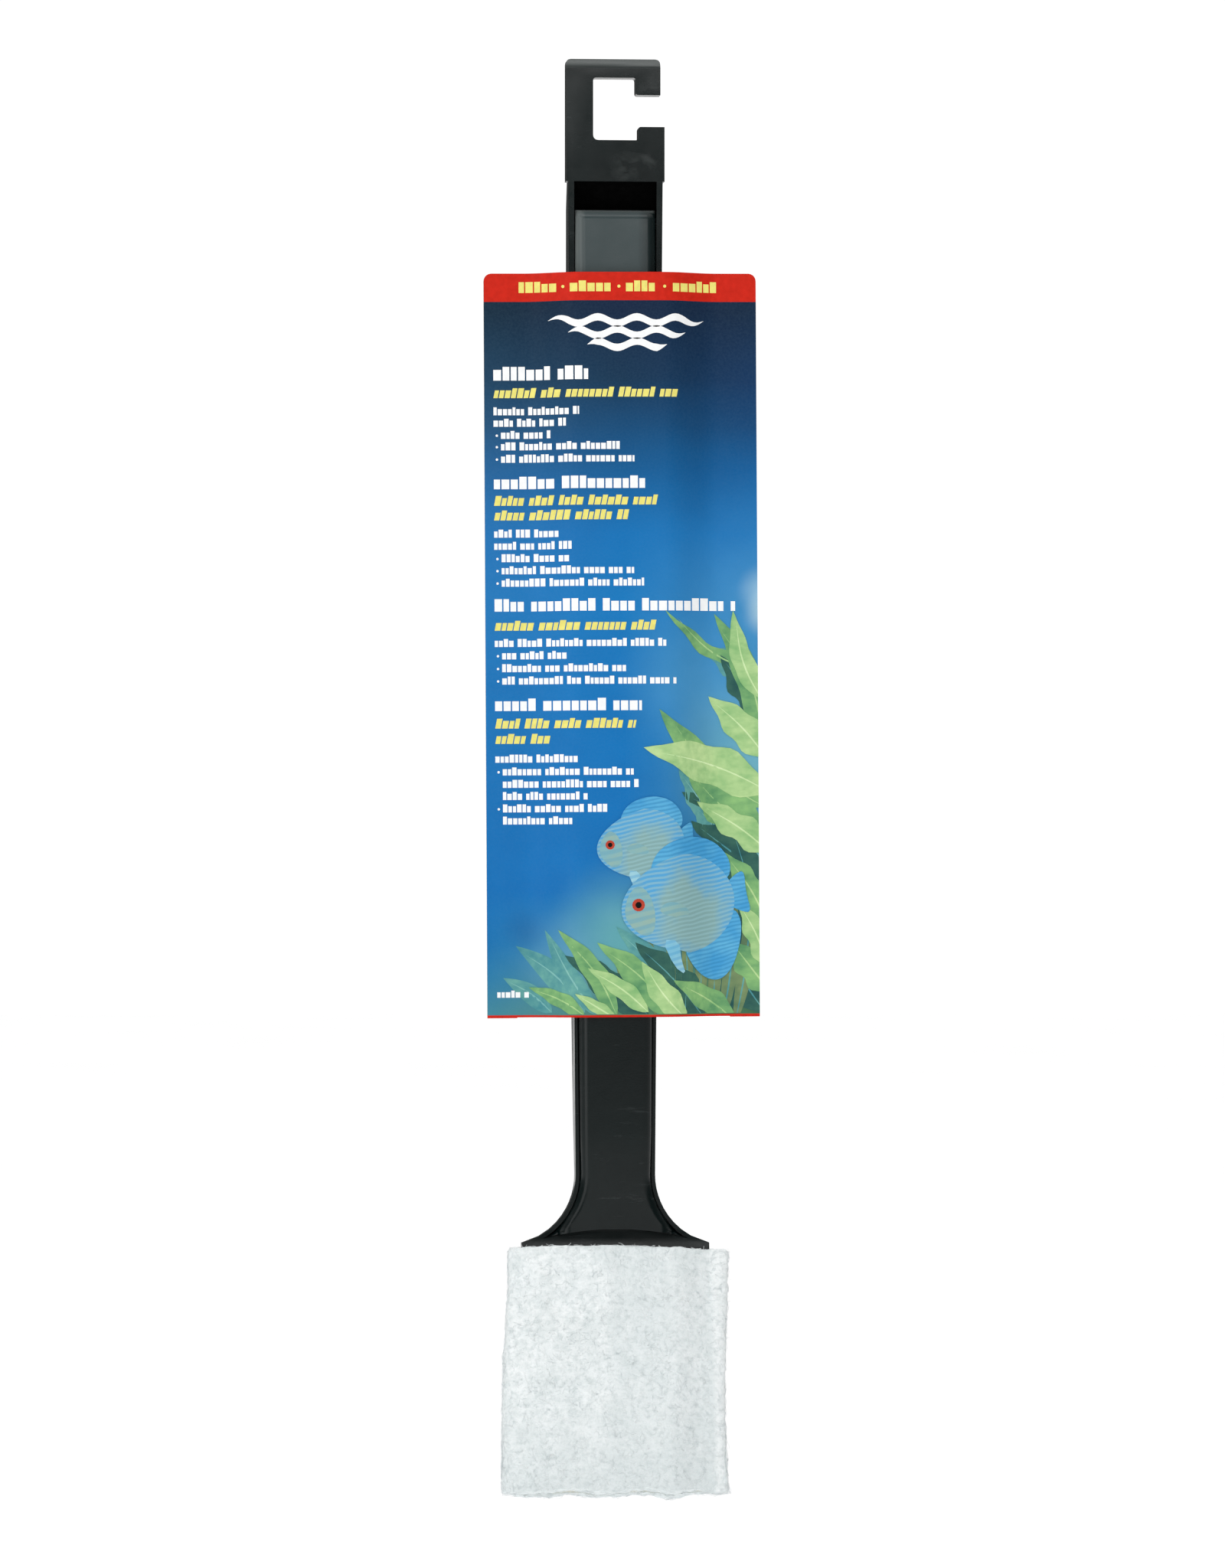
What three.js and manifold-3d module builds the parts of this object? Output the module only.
// Long-handled aquarium algae scrubber in its retail sleeve.
//
// The handle is two black mouldings. The frame carries the C-shaped hanging hook, the two side
// rails, a ribbed back and the paddle of the forward-leaning head. The cover is a hollow strip
// that lies between the rails and makes the smooth front. A sheet of scrubbing fleece, folded at
// the left and closed by two glue seams, is pulled over the paddle. A printed card, folded at its
// bottom edge and glued down both sides, is the sleeve that slides along the handle.
//
// Units are millimetres. +Z is up, the front faces -Y and +X is to the right seen from the front.
// The origin is on the underside of the hook's upper arm, where a peg carries the scrubber.
// A "drop" is a distance below the origin, so it is -z.

import * as THREE from "three";
import { mergeVertices } from "three/addons/utils/BufferGeometryUtils.js";
import Module from "manifold-3d";

const wasm = await Module();
wasm.setup();

// ---- Driving dimensions -------------------------------------------------------------------

const CLEARANCE = 0.3; // between pieces that touch
const BEYOND = 40; // how far a cutter reaches past what it cuts
const BITE = 1; // how far joined solids run into each other
const ARC_STEPS = 6;

// Hanging hook: a flat plate with a C-shaped slot that opens to the right.
const HOOK = { top: 6, foot: 32.6, left: -15.5, right: 15.5, lipRight: 14.2, front: -2.5, back: 3.5 };
const HOOK_CORNER = 1.8;
const HOOK_RIM = { height: 3, depth: 1.6 }; // the slope along the top front edge
const SLOT = { left: -7, right: 6.4, drop: 19.6, lipDrop: 5.4, stepDrop: 15.4, stepLeft: 7.2 };
const SLOT_CORNER = 1.8;
const LIP_CORNER = 0.9;

// Handle: half its width at each drop, then an arc that flares out to the paddle.
const TAPER = [
  { drop: 30, half: 14.9 },
  { drop: 62, half: 14.9 },
  { drop: 298, half: 13.1 },
  { drop: 344.2, half: 12.5 },
];
const FLARE_RADIUS = 22;
const RAIL = { upper: 1.9, lower: 1.2 };
const BACK = { deep: 7, rampTop: 33, deepFrom: 41, deepTo: 320 };
const WEB = { front: 1.5, back: 3.7, thinFrom: 320, lowerFront: -0.7 };
const POCKET_END = 43.5; // the trough's deep upper end, seen above the cover
const POCKET_WALL = 1.5;
const RIBS = { from: 46, to: 340, pitch: 14, thickness: 1.6 };

// Head: below a bend, the paddle leans towards the front.
const TILT = THREE.MathUtils.degToRad(15);
const BEND = { from: 361, middle: -0.5, tangent: 3.5 };
const HEAD_DROP = BEND.from + BEND.tangent;
const PADDLE = { half: 29.5, thickness: 4, length: 73.5, corner: 6 };
const GRIP = { count: 7, first: 14, pitch: 8, half: 24, width: 1.6, height: 0.3 };

// Cover: its crown slopes forward from the top, stands level along the grip and falls back a
// little towards the lower end, which is a shallow arch.
const COVER = { top: 41.5, corner: 3, side: 0.4, wall: 1.8, hollowEnd: 347 };
const CROWN = [
  { drop: 41.5, front: -3.8 },
  { drop: 80, front: -6.6 },
  { drop: 330, front: -6.6 },
  { drop: 365, front: -5.2 },
];
const ARCH = { middle: 361.5, side: 364.2, half: 22.5 };

// Scrubbing pad, in drops below the head's pivot: the back flap is the wider one.
const PAD = { top: 5, bottom: 81.2, left: -35, frontRight: 33, backRight: 35.8, outer: 9.4, corner: 4 };
const POUCH = { left: -30.3, right: 30, half: 2.9, bottom: 74.4 };
const SEAM_GAP = 2; // between the flaps where they are glued
const SIDE_SEAM = { left: 30.4, right: 32.4, top: 8 };
const END_SEAM = { left: -29.8, right: 30.1, top: 75, bottom: 80 };

// Sleeve card: two panels that bulge round the handle.
const CARD = { top: 61.6, bottom: 294.8, half: 42.9, thickness: 0.5, corner: 2.4, gap: 1, middle: 0.5 };
const CARD_PLACE = { x: 2.2, drop: 178, lean: THREE.MathUtils.degToRad(0.32) };
const FRONT_BULGE = { height: 7.2, flat: 13, end: 31 };
const BACK_BULGE = { height: 6.8, flat: 16.5, end: 33 };
const BULGE_STEPS = 8;
const FOLD_INNER = 33.5; // the slot in the fold lets the handle through
const GLUE = { inner: 35, outer: 41.5, top: 70, bottom: 288, thickness: 0.4 };

// ---- Materials ----------------------------------------------------------------------------

const finish = (color, roughness) => new THREE.MeshStandardMaterial({ color, roughness, metalness: 0 });
const blackPlastic = finish(0x202424, 0.45);
const whiteFleece = finish(0xe9edec, 0.95);
const printedCard = finish(0x2f78b5, 0.4);
const glue = finish(0xd9cfae, 0.5);

// ---- Solids -------------------------------------------------------------------------------

// A closed three.js geometry as a manifold-3d solid.
function solid(geometry) {
  const bare = geometry.clone();
  bare.deleteAttribute("normal");
  bare.deleteAttribute("uv");
  const merged = mergeVertices(bare, 1e-4);
  const vertProperties = new Float32Array(merged.attributes.position.array);
  const triVerts = new Uint32Array(merged.index.array);
  return new wasm.Manifold(new wasm.Mesh({ numProp: 3, vertProperties, triVerts }));
}

function mesh(name, made, material) {
  const { vertProperties, triVerts } = made.getMesh();
  const geometry = new THREE.BufferGeometry();
  geometry.setAttribute("position", new THREE.BufferAttribute(new Float32Array(vertProperties), 3));
  geometry.setIndex(new THREE.BufferAttribute(new Uint32Array(triVerts), 1));
  geometry.computeVertexNormals();
  const part = new THREE.Mesh(geometry, material);
  part.name = name;
  return part;
}

const shapeOf = (points) => new THREE.Shape(points.map(([a, b]) => new THREE.Vector2(a, b)));

// A shape drawn from [a, b, radius] corners, each rounded by a curve that leaves both sides.
function roundedShape(corners) {
  const shape = new THREE.Shape();
  corners.forEach(([a, b, radius = 0], i) => {
    const corner = new THREE.Vector2(a, b);
    const towards = (j) => {
      const [c, d] = corners[(j + corners.length) % corners.length];
      return new THREE.Vector2(c, d).sub(corner).setLength(radius).add(corner);
    };
    const start = radius ? towards(i - 1) : corner;
    if (i === 0) shape.moveTo(start.x, start.y);
    else shape.lineTo(start.x, start.y);
    if (!radius) return;
    const end = towards(i + 1);
    shape.quadraticCurveTo(a, b, end.x, end.y);
  });
  shape.closePath();
  return shape;
}

const extrude = (shape, depth) =>
  new THREE.ExtrudeGeometry(shape, { depth, bevelEnabled: false, curveSegments: ARC_STEPS });

// A shape drawn in x and z, made solid from y = front to y = back.
function fromFront(shape, front = -BEYOND, back = BEYOND) {
  return solid(extrude(shape, back - front).rotateX(Math.PI / 2).translate(0, back, 0));
}

// A shape drawn in y and z, made solid from x = left to x = right.
function fromSide(shape, left = -BEYOND, right = BEYOND) {
  const turn = new THREE.Matrix4().makeBasis(
    new THREE.Vector3(0, 1, 0),
    new THREE.Vector3(0, 0, 1),
    new THREE.Vector3(1, 0, 0),
  );
  return solid(extrude(shape, right - left).applyMatrix4(turn).translate(left, 0, 0));
}

// A shape drawn in x and y, made solid from one drop to a lower one.
const fromAbove = (shape, top, bottom) => solid(extrude(shape, bottom - top).translate(0, 0, -bottom));

function block(left, right, front, back, top, bottom) {
  const box = new THREE.BoxGeometry(right - left, back - front, bottom - top);
  return solid(box.translate((left + right) / 2, (front + back) / 2, -(top + bottom) / 2));
}

const mirrored = (points) => [...points, ...points.map(([x, ...rest]) => [-x, ...rest]).reverse()];
// Evenly spaced values from one number to another.
function span(from, to, steps) {
  return Array.from({ length: steps + 1 }, (_, i) => from + ((to - from) * i) / steps);
}


// ---- Handle outline -----------------------------------------------------------------------

const flareTop = TAPER.at(-1);

// The value that a table gives for a drop between two of its entries.
function along(table, drop, key) {
  const next = Math.max(1, table.findIndex((entry) => entry.drop >= drop));
  const [a, b] = [table[next - 1], table[next]];
  return THREE.MathUtils.mapLinear(drop, a.drop, b.drop, a[key], b[key]);
}

// Half the handle's width at a drop, less an inset from its edge.
function halfWidth(drop, inset = 0) {
  if (drop <= flareTop.drop) return along(TAPER, drop, "half") - inset;
  const reach = FLARE_RADIUS + inset;
  return flareTop.half + FLARE_RADIUS - Math.sqrt(reach ** 2 - (drop - flareTop.drop) ** 2);
}

function railWidth(drop) {
  const place = THREE.MathUtils.clamp(drop, TAPER[1].drop, TAPER[2].drop);
  return THREE.MathUtils.mapLinear(place, TAPER[1].drop, TAPER[2].drop, RAIL.upper, RAIL.lower);
}

const troughHalf = (drop) => halfWidth(drop, railWidth(drop));

const archAt = (x) => ARCH.middle + (ARCH.side - ARCH.middle) * (x / ARCH.half) ** 2;
const coverDrops = [...TAPER.slice(1, -1).map((entry) => entry.drop), ...span(flareTop.drop, ARCH.side, 8)];

// The front of the web that the cover lies on.
function webFront(drop) {
  const place = THREE.MathUtils.clamp(drop, WEB.thinFrom, ARCH.middle);
  return THREE.MathUtils.mapLinear(place, WEB.thinFrom, ARCH.middle, WEB.front, WEB.lowerFront);
}

// ---- Frame --------------------------------------------------------------------------------

function handleOutline() {
  const reach = FLARE_RADIUS + flareTop.half - PADDLE.half;
  const flareEnd = flareTop.drop + Math.sqrt(FLARE_RADIUS ** 2 - reach ** 2);
  const drops = [...TAPER.map((entry) => entry.drop), ...span(flareTop.drop, flareEnd, 10).slice(1)];
  const edge = drops.map((drop) => [halfWidth(drop), -drop]);
  const lowest = bendLine(PADDLE.thickness / 2).at(-1)[1];
  return fromFront(roundedShape(mirrored([...edge, [PADDLE.half, lowest, PADDLE.corner]])));
}

function hookOutline() {
  const middle = -(SLOT.lipDrop + SLOT.stepDrop) / 2;
  return fromFront(
    roundedShape([
      [HOOK.left, HOOK.top, HOOK_CORNER],
      [HOOK.left, -HOOK.foot],
      [HOOK.right, -HOOK.foot],
      [HOOK.right, middle],
      [HOOK.lipRight, middle],
      [HOOK.lipRight, HOOK.top, HOOK_CORNER],
    ]),
  );
}

function slotCutter() {
  return fromFront(
    roundedShape([
      [SLOT.left, 0, LIP_CORNER],
      [SLOT.left, -SLOT.drop, SLOT_CORNER],
      [SLOT.stepLeft, -SLOT.drop, LIP_CORNER],
      [SLOT.stepLeft, -SLOT.stepDrop, LIP_CORNER],
      [BEYOND, -SLOT.stepDrop],
      [BEYOND, -SLOT.lipDrop],
      [SLOT.right, -SLOT.lipDrop, LIP_CORNER],
      [SLOT.right, 0, LIP_CORNER],
    ]),
  );
}

// Points [y, z] of the bend and the leaning paddle, an offset behind their middle line.
function bendLine(offset) {
  const radius = BEND.tangent / Math.tan(TILT / 2);
  const arc = span(0, TILT, ARC_STEPS).map((angle) => [
    BEND.middle - radius + (radius + offset) * Math.cos(angle),
    -BEND.from - (radius + offset) * Math.sin(angle),
  ]);
  const end = [
    BEND.middle - PADDLE.length * Math.sin(TILT) + offset * Math.cos(TILT),
    -HEAD_DROP - PADDLE.length * Math.cos(TILT) - offset * Math.sin(TILT),
  ];
  return [...arc, end];
}

function sideProfile() {
  const front = bendLine(-PADDLE.thickness / 2);
  const back = bendLine(PADDLE.thickness / 2);
  return fromSide(
    shapeOf([
      [HOOK.front + HOOK_RIM.depth, HOOK.top],
      [HOOK.front, HOOK.top - HOOK_RIM.height],
      ...front,
      ...back.reverse(),
      [BACK.deep, -BACK.deepTo],
      [BACK.deep, -BACK.deepFrom],
      [HOOK.back, -BACK.rampTop],
      [HOOK.back, HOOK.top],
    ]),
  );
}

// The trough between the rails: deepest above the cover, and shallower towards the head.
function troughCutter() {
  const edge = [HOOK.foot, ...coverDrops].map((drop) => [troughHalf(drop), -drop]);
  const arch = span(ARCH.half, 0, ARC_STEPS).slice(1, -1).map((x) => [x, -archAt(x)]);
  const plan = fromFront(shapeOf(mirrored([...edge, ...arch])));
  const floor = fromSide(
    shapeOf([
      [-BEYOND, -HOOK.foot],
      [HOOK.back - POCKET_WALL, -HOOK.foot],
      [BACK.deep - POCKET_WALL, -BACK.deepFrom],
      [BACK.deep - POCKET_WALL, -POCKET_END],
      [WEB.front, -POCKET_END],
      [WEB.front, -WEB.thinFrom],
      [WEB.lowerFront, -ARCH.middle],
      [WEB.lowerFront, -ARCH.side - BITE],
      [-BEYOND, -ARCH.side - BITE],
    ]),
  );
  return plan.intersect(floor);
}

function ribPocket(top, bottom) {
  const corners = [top, bottom].map((drop) => [troughHalf(drop), -drop]);
  return fromFront(shapeOf(mirrored(corners)), WEB.back, BEYOND);
}

function gripRidge(index) {
  const drop = GRIP.first + index * GRIP.pitch;
  const reach = PADDLE.thickness / 2 + GRIP.height;
  const ridge = new THREE.BoxGeometry(2 * GRIP.half, 2 * reach, GRIP.width).translate(0, 0, -drop);
  return solid(ridge.rotateX(-TILT).translate(0, BEND.middle, -HEAD_DROP));
}

function handleFrame() {
  let made = handleOutline().add(hookOutline()).intersect(sideProfile());
  made = made.subtract(slotCutter()).subtract(troughCutter());
  for (let drop = RIBS.from; drop + RIBS.pitch <= RIBS.to; drop += RIBS.pitch) {
    made = made.subtract(ribPocket(drop, drop + RIBS.pitch - RIBS.thickness));
  }
  for (let i = 0; i < GRIP.count; i++) made = made.add(gripRidge(i));
  return mesh("handle_frame", made, blackPlastic);
}

// ---- Cover --------------------------------------------------------------------------------

// How far forward the cover stands, with its top edge rounded.
function crownAt(drop) {
  const short = Math.max(0, COVER.top + COVER.corner - drop);
  return along(CROWN, drop, "front") + COVER.corner - Math.sqrt(COVER.corner ** 2 - short ** 2);
}

// One section across the cover, with rounded shoulders.
function coverRing(drop, wall) {
  const half = troughHalf(drop) - CLEARANCE - wall;
  const crown = crownAt(drop) + wall;
  const base = webFront(drop) - CLEARANCE + (wall ? BEYOND : 0);
  const radius = Math.min(COVER.corner - wall / 2, webFront(drop) - CLEARANCE - crown - COVER.side);
  const shoulder = span(0, Math.PI / 2, ARC_STEPS).map((angle) => [
    half - radius + radius * Math.sin(angle),
    crown + radius - radius * Math.cos(angle),
  ]);
  const right = [...shoulder, [half, base]];
  const left = right.map(([x, y]) => [-x, y]).reverse();
  return [...left, ...right].map(([x, y]) => new THREE.Vector3(x, y, -drop));
}

// Joins rings of equal point count, each anticlockwise from above, from the top one down.
function loft(rings) {
  const count = rings[0].length;
  const indices = [];
  for (let i = 0; i < count; i++) {
    for (let r = 0; r + 1 < rings.length; r++) {
      const a = r * count + i;
      const b = r * count + ((i + 1) % count);
      indices.push(a, a + count, b, b, a + count, b + count);
    }
  }
  const base = (rings.length - 1) * count;
  const contour = rings[0].map((p) => new THREE.Vector2(p.x, p.y));
  for (const [a, b, c] of THREE.ShapeUtils.triangulateShape(contour, [])) {
    indices.push(a, b, c, base + c, base + b, base + a);
  }
  const geometry = new THREE.BufferGeometry().setFromPoints(rings.flat());
  geometry.setIndex(indices);
  return solid(geometry);
}

function handleCover() {
  const rounding = span(COVER.top, COVER.top + COVER.corner, ARC_STEPS);
  const foot = [...CROWN.slice(1, -1).map((entry) => entry.drop), ...coverDrops].sort((a, b) => a - b);
  const outside = loft([...rounding, ...foot].map((drop) => coverRing(drop, 0)));
  const inside = [COVER.top + COVER.wall, ...foot.filter((drop) => drop < COVER.hollowEnd), COVER.hollowEnd];
  const hollow = loft(inside.map((drop) => coverRing(drop, COVER.wall)));
  const arch = span(ARCH.half, 0, ARC_STEPS).slice(0, -1).map((x) => [x, CLEARANCE - archAt(x)]);
  const keep = fromFront(shapeOf(mirrored([[BEYOND, 0], [BEYOND, CLEARANCE - ARCH.side], ...arch])));
  return mesh("handle_cover", outside.subtract(hollow).intersect(keep), blackPlastic);
}

// ---- Scrubbing pad ------------------------------------------------------------------------

function scrubPad() {
  const gap = SEAM_GAP / 2;
  const section = roundedShape([
    [PAD.left, -PAD.outer, PAD.corner],
    [PAD.frontRight, -PAD.outer, PAD.corner],
    [PAD.frontRight, -gap],
    [POUCH.right, -gap],
    [POUCH.right, -POUCH.half],
    [POUCH.left, -POUCH.half],
    [POUCH.left, POUCH.half],
    [POUCH.right, POUCH.half],
    [POUCH.right, gap],
    [PAD.backRight, gap],
    [PAD.backRight, PAD.outer, PAD.corner],
    [PAD.left, PAD.outer, PAD.corner],
  ]);
  const [left, right, reach] = [POUCH.left - BITE, POUCH.right + BITE, POUCH.half + BITE];
  const lip = (front, back) => block(left, right, front, back, POUCH.bottom, PAD.bottom);
  const sheet = fromAbove(section, PAD.top, PAD.bottom);
  const closed = sheet.add(lip(-reach, -gap)).add(lip(gap, reach));
  return mesh("scrub_pad", closed, whiteFleece);
}

function padSeam(name, seam, bottom) {
  const half = SEAM_GAP / 2 - CLEARANCE;
  return mesh(name, block(seam.left, seam.right, -half, half, seam.top, bottom), glue);
}

function pad() {
  const head = new THREE.Group();
  head.position.set(0, BEND.middle, -HEAD_DROP);
  head.rotation.x = -TILT;
  head.add(
    scrubPad(),
    padSeam("pad_side_seam", SIDE_SEAM, END_SEAM.bottom),
    padSeam("pad_end_seam", END_SEAM, END_SEAM.bottom),
  );
  return head;
}

// ---- Sleeve -------------------------------------------------------------------------------

function bulgeAt(x, bulge) {
  const slope = THREE.MathUtils.clamp((Math.abs(x) - bulge.flat) / (bulge.end - bulge.flat), 0, 1);
  return (bulge.height * (1 + Math.cos(Math.PI * slope))) / 2;
}

// A card panel that bulges to the front (side = -1) or to the back (side = 1).
function cardPanel(bulge, side) {
  const curve = span(bulge.flat, bulge.end, BULGE_STEPS);
  const right = [...curve, CARD.half];
  const xs = [...right.map((x) => -x).reverse(), ...right];
  const offset = (x, extra) => CARD.middle + side * (CARD.gap / 2 + bulgeAt(x, bulge) + extra);
  const inner = xs.map((x) => [x, offset(x, 0)]);
  const outer = xs.map((x) => [x, offset(x, CARD.thickness)]).reverse();
  return fromAbove(shapeOf([...inner, ...outer]), CARD.top, CARD.bottom);
}

function cardFold(side) {
  const reach = CARD.gap / 2 + CARD.thickness;
  const [left, right] = [side * FOLD_INNER, side * CARD.half].sort((a, b) => a - b);
  const { middle, bottom, thickness } = CARD;
  return block(left, right, middle - reach, middle + reach, bottom - thickness, bottom);
}

function sleeveCard() {
  const outline = roundedShape([
    [-CARD.half, -CARD.top, CARD.corner],
    [CARD.half, -CARD.top, CARD.corner],
    [CARD.half, -CARD.bottom],
    [-CARD.half, -CARD.bottom],
  ]);
  const panels = cardPanel(FRONT_BULGE, -1).add(cardPanel(BACK_BULGE, 1)).intersect(fromFront(outline));
  return mesh("sleeve_card", panels.add(cardFold(-1)).add(cardFold(1)), printedCard);
}

function sleeveGlue(name, side) {
  const [left, right] = [side * GLUE.inner, side * GLUE.outer].sort((a, b) => a - b);
  const [front, back] = [CARD.middle - GLUE.thickness / 2, CARD.middle + GLUE.thickness / 2];
  return mesh(name, block(left, right, front, back, GLUE.top, GLUE.bottom), glue);
}

function sleeve() {
  const lean = new THREE.Group();
  lean.position.set(CARD_PLACE.x, 0, -CARD_PLACE.drop);
  lean.rotation.y = -CARD_PLACE.lean;
  lean.add(sleeveCard(), sleeveGlue("sleeve_glue_left", -1), sleeveGlue("sleeve_glue_right", 1));
  lean.children.forEach((piece) => piece.position.setZ(CARD_PLACE.drop));
  return lean;
}

// ---- Assembly -----------------------------------------------------------------------------

const scraper = new THREE.Group();
scraper.add(handleFrame(), handleCover(), pad(), sleeve());

export default scraper;
